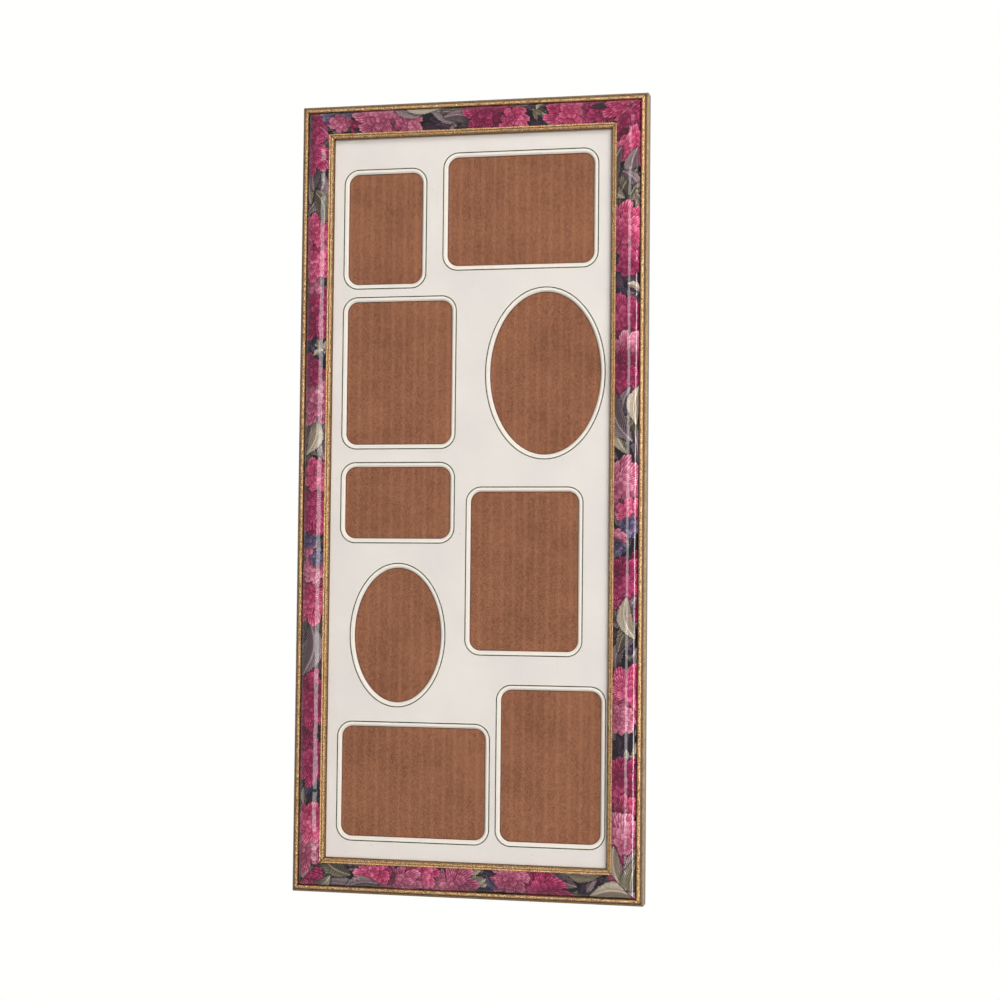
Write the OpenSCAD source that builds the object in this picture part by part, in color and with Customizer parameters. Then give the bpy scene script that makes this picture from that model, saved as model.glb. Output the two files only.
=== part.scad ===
// Collage photo frame: four mitred lengths of rebated moulding round a sheet of
// glass, a bevel-cut mat with nine windows, a corrugated board that presses the
// photographs to the mat, and a back panel held by eight turn buttons. It hangs
// from a sawtooth hanger.
// The front faces -Y, +Z is up. The origin is the point where the hanger's middle
// notch sits on the wall nail, in the plane of the wall.

/* [Picture pack] */
// Width of the glass, the mat, the corrugated board and the back panel
glass_w = 203; // [196:0.5:230]
// Height of the glass, the mat, the corrugated board and the back panel
glass_h = 505; // [490:1:600]
// Thickness of the glass
glass_t = 2; // [1.5:0.1:3]
// Thickness of the mat board
mat_t = 1.5; // [1.2:0.1:2.4]
// Thickness of the corrugated board over both liners
board_t = 4; // [3:0.1:6]
// Thickness of each liner of the corrugated board
liner_t = 0.35; // [0.2:0.05:0.6]
// Thickness of the fluted sheet inside the corrugated board
flute_t = 0.3; // [0.2:0.05:0.5]
// Distance from one flute to the next
flute_pitch = 7.9; // [5:0.1:10]
// Thickness of the back panel
panel_t = 3; // [2:0.1:4]
// Play between the edge of the glass and the wall of the rebate
pack_play = 0.5; // [0.2:0.1:1]
// Slack between the back panel and the back face of the moulding
pack_slack = 0.1; // [0:0.05:0.5]

/* [Moulding] */
// Width of the moulding, from the sight edge to the outer wall
moulding_w = 24.9; // [24.5:0.1:33]
// Width of the rebate under the sight lip
rebate_w = 4.4; // [4:0.1:6]
// Thickness of the wood between the glass and the foot of the sight lip's round
lip_t = 1; // [0.8:0.1:3]
// Width of the rounded sight lip
lip_w = 2.3; // [2:0.1:3.5]
// Height of the rounded sight lip from its foot to its inner end
lip_rise = 2.2; // [1.5:0.1:3]
// Height of the sight lip's round above the line between its ends
lip_crown = 0.5; // [0.3:0.1:0.6]
// Width of the sunk lines beside the gilt bands
quirk_w = 0.4; // [0.2:0.05:0.6]
// Depth of the sunk lines beside the gilt bands
quirk_depth = 0.8; // [0.4:0.1:1.2]
// Width of the narrow gilt fillet beside the print
fillet_w = 1.1; // [0.6:0.1:1.6]
// Height of the narrow gilt fillet above the sight lip's end
fillet_rise = 0.6; // [0.2:0.1:1]
// How far the printed swell's inner edge lies below the fillet
print_step = 0.4; // [0.2:0.1:0.8]
// Share of the printed swell's width that lies on the inner side of its crest
crest_share = 0.5; // [0.4:0.01:0.6]
// Slope of the printed swell at its inner edge, in degrees
swell_in_slope = 34; // [25:1:45]
// Slope of the printed swell at its outer edge, in degrees
swell_out_slope = 74; // [66:1:76]
// Radius of the gilt bead outside the print
bead_r = 1.25; // [1:0.05:1.6]
// Radius of the hollow between the bead and the outer wall
cove_r = 1.5; // [1.2:0.1:2]
// Rounding of the outer arris below the hollow
arris_r = 0.9; // [0.4:0.1:1.1]
// Rounding of the frame's four outer corners, seen from the front
corner_r = 1.2; // [0.5:0.1:3]

/* [Left column windows] */
// Margin from the sight edge to the windows of the left column
left_margin = 10.1; // [6:0.1:14]
// How much further in the small oval stands
small_oval_inset = 8; // [2:0.5:14]
// Width of the small upright window at the top
small_upright_w = 52; // [40:0.5:60]
// Height of the small upright window at the top
small_upright_h = 76.5; // [60:0.5:90]
// Width of the large upright window
large_upright_w = 74; // [60:0.5:80]
// Height of the large upright window
large_upright_h = 98.5; // [80:0.5:110]
// Width of the small wide window
small_wide_w = 74; // [60:0.5:80]
// Height of the small wide window
small_wide_h = 48.5; // [40:0.5:60]
// Width of the small oval window
small_oval_w = 60.5; // [50:0.5:70]
// Height of the small oval window
small_oval_h = 91.5; // [75:0.5:105]
// Width of the wide window at the foot
foot_wide_w = 100.5; // [80:0.5:104]
// Height of the wide window at the foot
foot_wide_h = 74.5; // [60:0.5:85]

/* [Right column windows] */
// Width of the wide window at the top
head_wide_w = 101.5; // [80:0.5:108]
// Height of the wide window at the top
head_wide_h = 74.5; // [60:0.5:85]
// Margin from the sight edge to the wide window at the top
head_wide_margin = 12.6; // [6:0.1:16]
// Width of the large oval window
large_oval_w = 76; // [60:0.5:84]
// Height of the large oval window
large_oval_h = 110.5; // [90:0.5:120]
// Margin from the sight edge to the large oval window
large_oval_margin = 7.1; // [5:0.1:14]
// Width of the tall upright window
tall_upright_w = 74; // [60:0.5:80]
// Height of the tall upright window
tall_upright_h = 107.5; // [90:0.5:115]
// Margin from the sight edge to the tall upright window
tall_upright_margin = 21.6; // [14:0.1:24]
// Width of the upright window at the foot
foot_upright_w = 68; // [55:0.5:72]
// Height of the upright window at the foot
foot_upright_h = 101.5; // [85:0.5:110]
// Margin from the sight edge to the upright window at the foot
foot_upright_margin = 5.1; // [5:0.1:9]

/* [Mat details] */
// Corner radius of the upright and wide windows
window_r = 7; // [4:0.5:12]
// Distance from a window's edge to the middle of the foil line round it
line_gap = 3.5; // [2.8:0.1:5]
// Width of the foil line
line_w = 0.8; // [0.4:0.1:1.2]
// Thickness of the foil, which is pressed in flush with the mat
foil_t = 0.12; // [0.05:0.01:0.2]

/* [Turn buttons] */
// Thickness of a turn button
button_t = 1; // [0.8:0.1:1.6]
// Radius of a turn button's round end at its screw
button_hub_r = 5; // [4:0.1:6]
// Radius of a turn button's free end
button_tip_r = 3.6; // [2.5:0.1:4.5]
// Distance from a turn button's screw to the middle of its free end
button_reach = 13.5; // [12:0.5:18]
// Distance from the rebate's wall to a turn button's screw
button_setback = 6.5; // [5.5:0.1:10]
// Distance from the end of the glass to the first and last turn button
button_end = 60; // [40:1:100]
// Clearance in front of and behind a turn button on its screw
button_float = 0.1; // [0.05:0.01:0.2]
// Clearance round a turn button's screw, on the radius
button_fit = 0.08; // [0.03:0.01:0.1]
// Radius of a turn button screw's shank
screw_r = 1.5; // [1.2:0.1:2]
// Length of a turn button screw below its head
screw_len = 10; // [7:0.5:11.5]
// Radius of a turn button screw's head
screw_head_r = 2.9; // [2.6:0.1:3.6]
// Height of a turn button screw's head
screw_head_h = 1.5; // [1.2:0.1:2]

/* [Hanger] */
// Length of the sawtooth hanger
hanger_w = 45; // [40:1:60]
// Height of the sawtooth hanger's strip
hanger_h = 8; // [6.5:0.5:10]
// Thickness of the hanger's strip
hanger_t = 0.8; // [0.6:0.1:1.2]
// Height of the hanger's bowed middle above the back face
hanger_bow = 2.2; // [1.5:0.1:3]
// Length of each flat end of the hanger
hanger_foot = 8; // [7:0.5:10]
// Distance from one tooth of the hanger to the next
tooth_pitch = 2; // [1.5:0.1:3]
// Depth of the hanger's teeth
tooth_depth = 1.2; // [0.8:0.1:1.6]
// Distance from the rebate's wall to the hanger's toothed edge
hanger_setback = 7; // [5:0.5:9]
// Radius of a hanger nail's shank
nail_r = 0.7; // [0.5:0.1:1]
// Radius of a hanger nail's head
nail_head_r = 1.8; // [1.4:0.1:2.2]
// Height of a hanger nail's head
nail_head_h = 0.6; // [0.4:0.1:1]
// Length of a hanger nail below its head
nail_len = 9; // [6:0.5:10]

/* [Corner nails] */
// Length of each leg of a corner's V nail
v_leg = 7; // [5:0.5:8]
// Thickness of a V nail's sheet
v_t = 0.6; // [0.4:0.1:0.9]
// How deep a V nail is driven
v_depth = 7; // [5:0.5:8]
// Distance from the rebate's wall to a V nail's outer leg
v_setback = 14; // [11:0.5:16]
// Clearance of nails and screws in their holes in the wood
wood_fit = 0.02; // [0.01:0.01:0.05]

/* [Hidden] */

$fn = 64;
LEFT = -1;
RIGHT = 1;
OVAL = 0;
ROUNDED = 1;
OVAL_POINTS = 72;
BUTTON_ROWS = 4;
cap_root = 0.3;
eps = 0.01;
far = 60;

// The visible opening of the frame, inside the sight lip
sight_w = glass_w + 2 * pack_play - 2 * rebate_w;
sight_h = glass_h + 2 * pack_play - 2 * rebate_w;
outer_w = sight_w + 2 * moulding_w;
outer_h = sight_h + 2 * moulding_w;

// The pack, from the lip backwards: glass, mat, corrugated board, panel, slack
rebate_depth = glass_t + mat_t + board_t + panel_t + pack_slack;

// Distances in the moulding's section, measured outwards from the sight edge
fillet_u = lip_w + quirk_w;
print_in_u = fillet_u + fillet_w;
cove_u = moulding_w - arris_r;
bead_u = cove_u - cove_r - bead_r;
print_out_u = bead_u - bead_r - quirk_w;
crest_u = hundredths(print_in_u + (print_out_u - print_in_u) * crest_share);
swell_in_w = crest_u - print_in_u;
swell_out_w = print_out_u - crest_u;
swell_in_r = hundredths(swell_in_w / sin(swell_in_slope));
swell_out_r = hundredths(swell_out_w / sin(swell_out_slope));
function hundredths(size) = round(size * 100) / 100;

// Heights in the moulding's section, measured from its back face
lip_foot_v = rebate_depth + lip_t;
lip_end_v = lip_foot_v + lip_rise;
fillet_v = lip_end_v + fillet_rise;
print_in_v = fillet_v - print_step;
crest_v = hundredths(print_in_v + swell_in_w * tan(swell_in_slope / 2));
print_out_v = hundredths(crest_v - swell_out_w * tan(swell_out_slope / 2));
chord_v = print_in_v + (print_out_v - print_in_v) * crest_share;
bead_v = print_out_v - quirk_depth / 2;
cove_v = bead_v - bead_r / 2;
arris_v = cove_v - cove_r - arris_r;

// The turn buttons' screws
button_u = rebate_w + button_setback;
button_x = sight_w / 2 + button_u;
button_span = glass_h - 2 * button_end;
function button_z(row) = button_span / 2 - (row - 1) * button_span / (BUTTON_ROWS - 1);

// The hanger, and the point on the wall nail that it hangs from
hanger_z = sight_h / 2 + rebate_w + hanger_setback;
notch_z = hanger_z + tooth_depth;
wall_y = hanger_bow + hanger_t;
hanger_foot_mid = hanger_w / 2 - hanger_foot / 2;

// Every window is [shape, width, height, middle x, middle z]. In a column the
// windows keep their own heights, and the height left over is shared out among
// the gaps above, between and below them.
left_sizes = [
    [ROUNDED, small_upright_w, small_upright_h, left_margin],
    [ROUNDED, large_upright_w, large_upright_h, left_margin],
    [ROUNDED, small_wide_w, small_wide_h, left_margin],
    [OVAL, small_oval_w, small_oval_h, left_margin + small_oval_inset],
    [ROUNDED, foot_wide_w, foot_wide_h, left_margin]
];
left_gap_shares = [24.6, 13, 16.5, 21, 17.5, 15.1];
right_sizes = [
    [ROUNDED, head_wide_w, head_wide_h, head_wide_margin],
    [OVAL, large_oval_w, large_oval_h, large_oval_margin],
    [ROUNDED, tall_upright_w, tall_upright_h, tall_upright_margin],
    [ROUNDED, foot_upright_w, foot_upright_h, foot_upright_margin]
];
right_gap_shares = [15.1, 20, 26, 27, 15.1];

function total(list, count) = count <= 0 ? 0 : list[count - 1] + total(list, count - 1);
function heights(sizes) = [for (size = sizes) size[2]];
function gap_scale(sizes, shares) =
    (sight_h - total(heights(sizes), len(sizes))) / total(shares, len(shares));
function window_z(sizes, shares, i) =
    sight_h / 2
    - gap_scale(sizes, shares) * total(shares, i + 1)
    - total(heights(sizes), i)
    - sizes[i][2] / 2;
function window_x(size, side) = side * (sight_w / 2 - size[3] - size[1] / 2);
function column(sizes, shares, side) = [
    for (i = [0 : len(sizes) - 1])
        [sizes[i][0], sizes[i][1], sizes[i][2],
         window_x(sizes[i], side), window_z(sizes, shares, i)]
];
windows = concat(
    column(left_sizes, left_gap_shares, LEFT),
    column(right_sizes, right_gap_shares, RIGHT)
);

// Points of an ellipse of the given width and height
function oval_points(w, h) = [
    for (i = [0 : OVAL_POINTS - 1])
        [w / 2 * cos(360 * i / OVAL_POINTS), h / 2 * sin(360 * i / OVAL_POINTS)]
];

// Puts a piece drawn round the middle of the frame, with the back of the
// moulding at y = 0, where it hangs from the wall nail
module hung() {
    translate([0, -wall_y, -notch_z]) children();
}

// Stands a flat outline up in the XZ plane, with the given front and back
module standing(front, thick) {
    translate([0, front + thick, 0])
        rotate([90, 0, 0])
            linear_extrude(thick) children();
}

// The part of the moulding's section that straight lines bound: x runs outwards
// from the sight edge, y runs forwards from the back face
module section_core() {
    polygon([
        [rebate_w, 0],
        [moulding_w, 0],
        [moulding_w, arris_v],
        [cove_u, arris_v],
        [cove_u, cove_v],
        [bead_u, cove_v],
        [print_out_u, print_out_v - quirk_depth],
        [print_out_u, print_out_v - cap_root],
        [print_in_u, print_in_v - cap_root],
        [print_in_u, fillet_v],
        [fillet_u, fillet_v - print_step / 2],
        [fillet_u, lip_end_v - quirk_depth],
        [lip_w, lip_end_v - quirk_depth],
        [lip_w, lip_end_v - cap_root],
        [0, lip_foot_v - cap_root],
        [0, rebate_depth],
        [rebate_w, rebate_depth]
    ]);
}

// The cap of a circle that stands crown high on the line from one point to
// another. Its sides are upright, and its root lies below the line, in the core.
module cap(from, to, crown) {
    chord = norm(to - from);
    radius = (chord * chord / 4 + crown * crown) / (2 * crown);
    root = [0, -2 * cap_root];
    top = max(from[1], to[1]) + crown;
    intersection() {
        translate(from)
            rotate(atan2(to[1] - from[1], to[0] - from[0]))
                translate([chord / 2, crown - radius]) circle(radius);
        polygon([from + root, to + root, [to[0], top], [from[0], top]]);
    }
}

// One side of the printed swell: an arc that is level at the crest, over a root
// that reaches below the line between the swell's edges, into the core
module swell_side(edge_u, edge_v, radius) {
    root = 2 * cap_root;
    intersection() {
        translate([crest_u, crest_v - radius]) circle(radius);
        polygon([
            [crest_u, chord_v - root],
            [edge_u, edge_v - root],
            [edge_u, crest_v + eps],
            [crest_u, crest_v + eps]
        ]);
    }
}

module moulding_section() {
    difference() {
        union() {
            section_core();
            cap([0, lip_foot_v], [lip_w, lip_end_v], lip_crown);
            swell_side(print_in_u, print_in_v, swell_in_r);
            swell_side(print_out_u, print_out_v, swell_out_r);
            translate([bead_u, bead_v]) circle(bead_r);
            translate([cove_u, arris_v]) circle(arris_r);
        }
        translate([cove_u, cove_v]) circle(cove_r);
    }
}

// A length of moulding along X with its sight edge at z = inner / 2 - across, cut
// to 45 degree mitres. The bar is drawn as the top rail of a frame whose sight
// opening is along wide and across high.
module mitred_length(along, across) {
    intersection() {
        translate([-(along / 2 + far), 0, across / 2])
            rotate([90, 0, 90])
                linear_extrude(along + 2 * far)
                    rotate(90) moulding_section();
        standing(-far / 2, far)
            polygon([
                [-along / 2, across / 2],
                [along / 2, across / 2],
                [along / 2 + moulding_w + eps, across / 2 + moulding_w + eps],
                [-along / 2 - moulding_w - eps, across / 2 + moulding_w + eps]
            ]);
    }
}

// The frame's outline from the front, with its corners eased
module outer_block() {
    standing(-far / 2, far)
        rounded_outline(outer_w, outer_h, corner_r);
}

// A rectangle with round corners, centred
module rounded_outline(w, h, r) {
    square([w - 2 * r, h], center = true);
    square([w, h - 2 * r], center = true);
    for (x = [-1, 1], z = [-1, 1])
        translate([x * (w / 2 - r), z * (h / 2 - r)]) circle(r);
}

// One V nail, its legs along the rail and the stile that meet at the top right
// corner, or the hollow that it is driven into where grow is above zero
module v_nail(grow) {
    x = sight_w / 2 + rebate_w + v_setback;
    z = sight_h / 2 + rebate_w + v_setback;
    t = v_t + 2 * grow;
    leg = v_leg + 2 * grow;
    translate([x + grow - leg, -v_depth - grow, z - v_t - grow])
        cube([leg, v_depth + grow, t]);
    translate([x - v_t - grow, -v_depth - grow, z + grow - leg])
        cube([t, v_depth + grow, leg]);
}

module all_v_nails(grow) {
    for (x = [0, 1], z = [0, 1])
        mirror([x, 0, 0]) mirror([0, 0, z]) v_nail(grow);
}

module screw_holes(side) {
    for (row = [1 : BUTTON_ROWS])
        translate([side * button_x, 0, button_z(row)])
            rotate([90, 0, 0])
                translate([0, 0, -1])
                    cylinder(r = screw_r + wood_fit, h = screw_len + 1);
}

module stile(side) {
    color([0.55, 0.33, 0.40])
        hung()
            difference() {
                intersection() {
                    rotate([0, side * 90, 0]) mitred_length(sight_h, sight_w);
                    outer_block();
                }
                all_v_nails(wood_fit);
                screw_holes(side);
            }
}

module nail_hole(side) {
    translate([side * hanger_foot_mid, 0, hanger_z + hanger_h / 2])
        rotate([90, 0, 0])
            translate([0, 0, -1])
                cylinder(r = nail_r + wood_fit, h = nail_len - hanger_t + 1);
}

module rail_top() {
    color([0.60, 0.35, 0.43])
        hung()
            difference() {
                intersection() {
                    mitred_length(sight_w, sight_h);
                    outer_block();
                }
                all_v_nails(wood_fit);
                nail_hole(LEFT);
                nail_hole(RIGHT);
            }
}

module rail_bottom() {
    color([0.60, 0.35, 0.43])
        hung()
            difference() {
                intersection() {
                    mirror([0, 0, 1]) mitred_length(sight_w, sight_h);
                    outer_block();
                }
                all_v_nails(wood_fit);
            }
}

module corner_v_nails() {
    color("silver") hung() all_v_nails(0);
}

// A flat sheet of the pack: front is the distance of its front face from the
// lip, thick its thickness
module pack_sheet(front, thick) {
    translate([-glass_w / 2, -rebate_depth + front, -glass_h / 2])
        cube([glass_w, thick, glass_h]);
}

module glass_pane() {
    color([0.80, 0.90, 0.90, 0.35]) hung() pack_sheet(0, glass_t);
}

// A window's outline, larger by grow on every side
module window_outline(window, grow) {
    w = window[1] + 2 * grow;
    h = window[2] + 2 * grow;
    translate([window[3], window[4]])
        if (window[0] == OVAL)
            polygon(oval_points(w, h));
        else
            rounded_outline(w, h, window_r + grow);
}

// The bevelled hole of an upright or wide window: cones in its corners and
// sloping walls between them, wider by the mat's thickness at the front
module bevelled_rounded_hole(w, h) {
    for (x = [-1, 1], z = [-1, 1])
        translate([x * (w / 2 - window_r), z * (h / 2 - window_r), 0])
            cylinder(r1 = window_r, r2 = window_r + mat_t, h = mat_t);
    rotate([90, 0, 0])
        linear_extrude(h - 2 * window_r, center = true) bevel_section(w);
    rotate([90, 0, 90])
        linear_extrude(w - 2 * window_r, center = true) bevel_section(h);
}

module bevel_section(w) {
    polygon([
        [-w / 2, 0],
        [w / 2, 0],
        [w / 2 + mat_t, mat_t],
        [-w / 2 - mat_t, mat_t]
    ]);
}

module bevelled_oval_hole(w, h) {
    linear_extrude(mat_t, slices = 1, scale = [(w + 2 * mat_t) / w, (h + 2 * mat_t) / h])
        polygon(oval_points(w, h));
}

// The bevelled hole of a window, through the mat from back to front
module window_hole(window) {
    translate([window[3], -rebate_depth + glass_t + mat_t, window[4]])
        rotate([90, 0, 0])
            if (window[0] == OVAL)
                bevelled_oval_hole(window[1], window[2]);
            else
                bevelled_rounded_hole(window[1], window[2]);
}

// The ring of a foil line round a window, as an outline
module line_ring(window) {
    difference() {
        window_outline(window, line_gap + line_w / 2);
        window_outline(window, line_gap - line_w / 2);
    }
}

module foil_rings() {
    standing(-rebate_depth + glass_t, foil_t)
        for (window = windows) line_ring(window);
}

module mat_board() {
    color([0.93, 0.89, 0.86])
        hung()
            difference() {
                pack_sheet(glass_t, mat_t);
                for (window = windows) window_hole(window);
                foil_rings();
            }
}

module foil_lines() {
    color([0.62, 0.60, 0.45]) hung() foil_rings();
}

module backing_front_liner() {
    color([0.58, 0.38, 0.27]) hung() pack_sheet(glass_t + mat_t, liner_t);
}

module backing_rear_liner() {
    color([0.62, 0.42, 0.29]) hung() pack_sheet(glass_t + mat_t + board_t - liner_t, liner_t);
}

module back_panel() {
    color([0.45, 0.33, 0.24]) hung() pack_sheet(glass_t + mat_t + board_t, panel_t);
}

// The fluted sheet: eight steps to a flute, placed so that each crest is a short
// flat that is glued to its liner
module backing_fluting() {
    steps = 8;
    step = flute_pitch / steps;
    count = floor(glass_w / step);
    swing = (board_t - 2 * liner_t - flute_t) / 2;
    function wave(i) = swing * cos((i + 0.5) * 360 / steps) / cos(180 / steps);
    function at(i, side) = [(i - count / 2) * step, wave(i) + side * flute_t / 2];
    color([0.52, 0.34, 0.23])
        hung()
            translate([0, -rebate_depth + glass_t + mat_t + board_t / 2, -glass_h / 2])
                linear_extrude(glass_h)
                    polygon(concat(
                        [for (i = [0 : count]) at(i, -1)],
                        [for (i = [count : -1 : 0]) at(i, 1)]
                    ));
}

// A turn button's outline, with its screw at the origin and its free end along
// +X: two round ends and the straight sides that touch both
module button_outline() {
    lean = acos((button_hub_r - button_tip_r) / button_reach);
    circle(button_hub_r);
    translate([button_reach, 0]) circle(button_tip_r);
    polygon([
        button_hub_r * [cos(lean), sin(lean)],
        button_hub_r * [cos(lean), -sin(lean)],
        [button_reach, 0] + button_tip_r * [cos(lean), -sin(lean)],
        [button_reach, 0] + button_tip_r * [cos(lean), sin(lean)]
    ]);
}

// A turn button at rest, its free end over the back panel
module turn_button(side, row) {
    color([0.72, 0.70, 0.66])
        hung()
            translate([side * button_x, button_float, button_z(row)])
                mirror([side > 0 ? 1 : 0, 0, 0])
                    difference() {
                        standing(0, button_t) button_outline();
                        rotate([90, 0, 0])
                            cylinder(r = screw_r + button_fit, h = 4 * button_t, center = true);
                    }
}

// A round-headed screw along -Y with a cross recess, its head's flat face at
// y = seat
module button_screw(seat) {
    recess = 0.8;
    arm = 2 * screw_head_r * 0.6;
    difference() {
        union() {
            translate([0, seat, 0]) rotate([90, 0, 0]) cylinder(r = screw_r, h = screw_len);
            translate([0, seat, 0]) rotate([-90, 0, 0])
                rotate_extrude()
                    polygon([
                        [0, 0],
                        [screw_head_r, 0],
                        [screw_head_r, screw_head_h * 0.4],
                        [screw_head_r * 0.6, screw_head_h],
                        [0, screw_head_h]
                    ]);
        }
        translate([-arm / 2, seat + screw_head_h - recess, -recess / 2]) cube([arm, recess + 1, recess]);
        translate([-recess / 2, seat + screw_head_h - recess, -arm / 2]) cube([recess, recess + 1, arm]);
    }
}

module turn_button_screws() {
    color("silver")
        hung()
            for (side = [LEFT, RIGHT], row = [1 : BUTTON_ROWS])
                translate([side * button_x, 0, button_z(row)])
                    button_screw(2 * button_float + button_t);
}

// The hanger's strip from above: flat feet, sloping shoulders and a raised middle
module hanger_strip() {
    half = hanger_w / 2;
    foot = half - hanger_foot;
    rise = foot - hanger_bow;
    polygon([
        [-half, 0],
        [-foot, 0],
        [-rise, hanger_bow],
        [rise, hanger_bow],
        [foot, 0],
        [half, 0],
        [half, hanger_t],
        [foot + hanger_t / 2, hanger_t],
        [rise + hanger_t / 2, hanger_bow + hanger_t],
        [-rise - hanger_t / 2, hanger_bow + hanger_t],
        [-foot - hanger_t / 2, hanger_t],
        [-half, hanger_t]
    ]);
}

// The row of notches along the hanger's lower edge, one of them in the middle
module hanger_teeth() {
    room = hanger_w / 2 - hanger_foot - hanger_bow - tooth_pitch;
    each_side = floor(room / tooth_pitch);
    for (i = [-each_side : each_side])
        translate([i * tooth_pitch, 0, hanger_z])
            standing(-1, hanger_bow + hanger_t + 2)
                polygon([
                    [-tooth_pitch / 2, -eps],
                    [tooth_pitch / 2, -eps],
                    [0, tooth_depth]
                ]);
}

module sawtooth_hanger() {
    color([0.80, 0.68, 0.42])
        hung()
            difference() {
                translate([0, 0, hanger_z]) linear_extrude(hanger_h) hanger_strip();
                hanger_teeth();
                for (side = [LEFT, RIGHT])
                    translate([side * hanger_foot_mid, 0, hanger_z + hanger_h / 2])
                        rotate([90, 0, 0])
                            cylinder(r = nail_r + wood_fit, h = 4 * hanger_t, center = true);
            }
}

module hanger_nails() {
    color([0.80, 0.68, 0.42])
        hung()
            for (side = [LEFT, RIGHT])
                translate([side * hanger_foot_mid, hanger_t, hanger_z + hanger_h / 2]) {
                    rotate([90, 0, 0]) cylinder(r = nail_r, h = nail_len);
                    rotate([-90, 0, 0]) cylinder(r = nail_head_r, h = nail_head_h);
                }
}

stile(LEFT);  // stile_left
stile(RIGHT);  // stile_right
rail_top();
rail_bottom();
corner_v_nails();
glass_pane();
mat_board();
foil_lines();
backing_front_liner();
backing_fluting();
backing_rear_liner();
back_panel();
turn_button(LEFT, 1);  // turn_button_left_1
turn_button(LEFT, 2);  // turn_button_left_2
turn_button(LEFT, 3);  // turn_button_left_3
turn_button(LEFT, 4);  // turn_button_left_4
turn_button(RIGHT, 1);  // turn_button_right_1
turn_button(RIGHT, 2);  // turn_button_right_2
turn_button(RIGHT, 3);  // turn_button_right_3
turn_button(RIGHT, 4);  // turn_button_right_4
turn_button_screws();
sawtooth_hanger();
hanger_nails();
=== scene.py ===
import math

import bmesh
import bpy
import numpy as np
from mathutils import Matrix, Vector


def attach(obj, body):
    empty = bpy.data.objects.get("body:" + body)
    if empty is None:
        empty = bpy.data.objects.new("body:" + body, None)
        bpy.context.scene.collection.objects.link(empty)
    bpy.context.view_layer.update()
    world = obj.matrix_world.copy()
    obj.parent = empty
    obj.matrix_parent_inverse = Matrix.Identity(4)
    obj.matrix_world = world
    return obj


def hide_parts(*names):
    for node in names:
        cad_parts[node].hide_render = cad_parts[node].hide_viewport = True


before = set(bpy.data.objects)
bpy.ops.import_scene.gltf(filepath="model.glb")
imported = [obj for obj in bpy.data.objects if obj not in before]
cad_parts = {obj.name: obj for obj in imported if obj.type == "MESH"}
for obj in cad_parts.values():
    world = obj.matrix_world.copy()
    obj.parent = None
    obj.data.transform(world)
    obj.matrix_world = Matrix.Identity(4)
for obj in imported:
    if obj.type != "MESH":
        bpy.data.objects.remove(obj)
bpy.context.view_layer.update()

# The four moulding lengths: wooden bars, machined to one section with a rebate behind the sight
# lip, coated, gilt on the lip, the fillet and the bead, darkened with a toner in the sunk lines,
# with painted shade on the flanks of the lip and the bead, and left bare behind. They are cut to
# 45 degree mitres, glued, and held by a nail across each corner.
MM = 0.001
MIDDLE_Z = -261.2 * MM
BACK_Y = -3 * MM
SIGHT_HALF_W = 97.6 * MM
SIGHT_HALF_H = 248.6 * MM
MOULDING_W = 24.9 * MM
REBATE_W = 4.4 * MM
REBATE_DEPTH = 10.6 * MM
LIP_W = 2.3 * MM
LIP_FOOT = 11.6 * MM
LIP_END = 13.8 * MM
LIP_CROWN = 0.5 * MM
SUNK_LINE_W = 0.4 * MM
SUNK_LINE_DEPTH = 0.8 * MM
FILLET_END = 14.4 * MM
SWELL_IN = (3.8 * MM, 14.0 * MM)
SWELL_CREST = (11.7 * MM, 16.42 * MM)
SWELL_OUT = (19.6 * MM, 10.47 * MM)
SWELL_IN_R = 14.13 * MM
SWELL_OUT_R = 8.22 * MM
BEAD_R = 1.25 * MM
BEAD = (21.25 * MM, SWELL_OUT[1] - SUNK_LINE_DEPTH / 2)
HOLLOW_R = 1.5 * MM
ARRIS_R = 0.9 * MM
HOLLOW = (MOULDING_W - ARRIS_R, BEAD[1] - BEAD_R / 2)
CORNER_R = 1.2 * MM
OUTLINE_STEP = 0.2 * MM
COAT_SOFTENING = 0.16 * MM
FILM_BED = 0.06 * MM
MITRE_GAP = 0.04 * MM
MITRE_EASE = 0.12 * MM
MITRE_EASE_REACH = 0.35 * MM

GILT, WALL, WOOD = range(3)
RAILS = {
    "rail_top": ((0, 1), SIGHT_HALF_W, SIGHT_HALF_H),
    "stile_right": ((1, 0), SIGHT_HALF_H, SIGHT_HALF_W),
    "rail_bottom": ((0, -1), SIGHT_HALF_W, SIGHT_HALF_H),
    "stile_left": ((-1, 0), SIGHT_HALF_H, SIGHT_HALF_W),
}


def screen(*channels):
    """A screen colour, 0 to 255, as the linear colour that shaders and attributes use."""
    part = np.array(channels, float) / 255
    linear = np.where(part <= 0.04045, part / 12.92, ((part + 0.055) / 1.055) ** 2.4)
    return (*linear.tolist(), 1.0)


def arc(middle, radius, start, end, step=OUTLINE_STEP):
    """Points (u + r cos a, v + r sin a) for a from start to end in degrees, a step apart."""
    span = math.radians(abs(end - start)) * radius
    angles = np.radians(np.linspace(start, end, max(3, int(span / step) + 1)))
    return np.stack([middle[0] + radius * np.cos(angles), middle[1] + radius * np.sin(angles)], 1)


def arch(foot, end, crown):
    """The arc from foot to end whose middle stands crown above the straight line between them."""
    foot, end = np.array(foot), np.array(end)
    chord = np.linalg.norm(end - foot)
    radius = (chord * chord / 4 + crown * crown) / (2 * crown)
    across = (end - foot) / chord
    left = np.array([-across[1], across[0]])
    middle = (foot + end) / 2 + left * (crown - radius)
    half = math.degrees(math.asin(chord / 2 / radius))
    upright = math.degrees(math.atan2(left[1], left[0]))
    return arc(middle, radius, upright + half, upright - half)


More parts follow.
